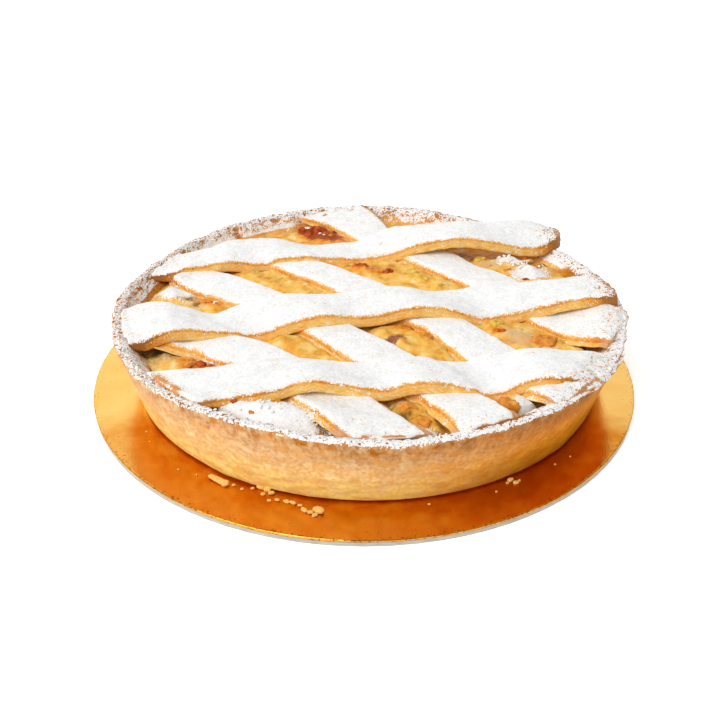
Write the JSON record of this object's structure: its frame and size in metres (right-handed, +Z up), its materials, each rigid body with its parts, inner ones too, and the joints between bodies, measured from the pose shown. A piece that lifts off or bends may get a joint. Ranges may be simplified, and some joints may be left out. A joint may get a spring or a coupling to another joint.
{
  "type": "pastiera",
  "caption": "Round deep shortcrust tart with a flared crust, a domed ricotta and wheat filling and a draped lattice of sugared dough strips, on a round gold cake card.",
  "frame": {"origin": "centre of the cake card's underside, on the surface that the tart stands on", "axes": "+Z up through the tart, +X to the right along the three strips that lie across, -Y towards the front"},
  "size_m": [0.28, 0.28, 0.0526],
  "materials": {
    "gold_card": "greyboard disc faced with smooth gold foil",
    "pastry": "baked shortcrust, matt and finely grained, dusted at the rim",
    "filling": "baked ricotta and wheat cream, softly shining, with candied bits",
    "sugared_pastry": "baked shortcrust under a thick dusting of icing sugar, golden at the sides"
  },
  "bodies": {
    "root": {"cake_board": "gold_card", "crust": "pastry", "filling": "filling", "strip_diagonal_1": "sugared_pastry", "strip_diagonal_2": "sugared_pastry", "strip_diagonal_3": "sugared_pastry", "strip_diagonal_4": "sugared_pastry", "strip_across_front": "sugared_pastry", "strip_across_middle": "sugared_pastry", "strip_across_back": "sugared_pastry"}
  },
  "joints": []
}
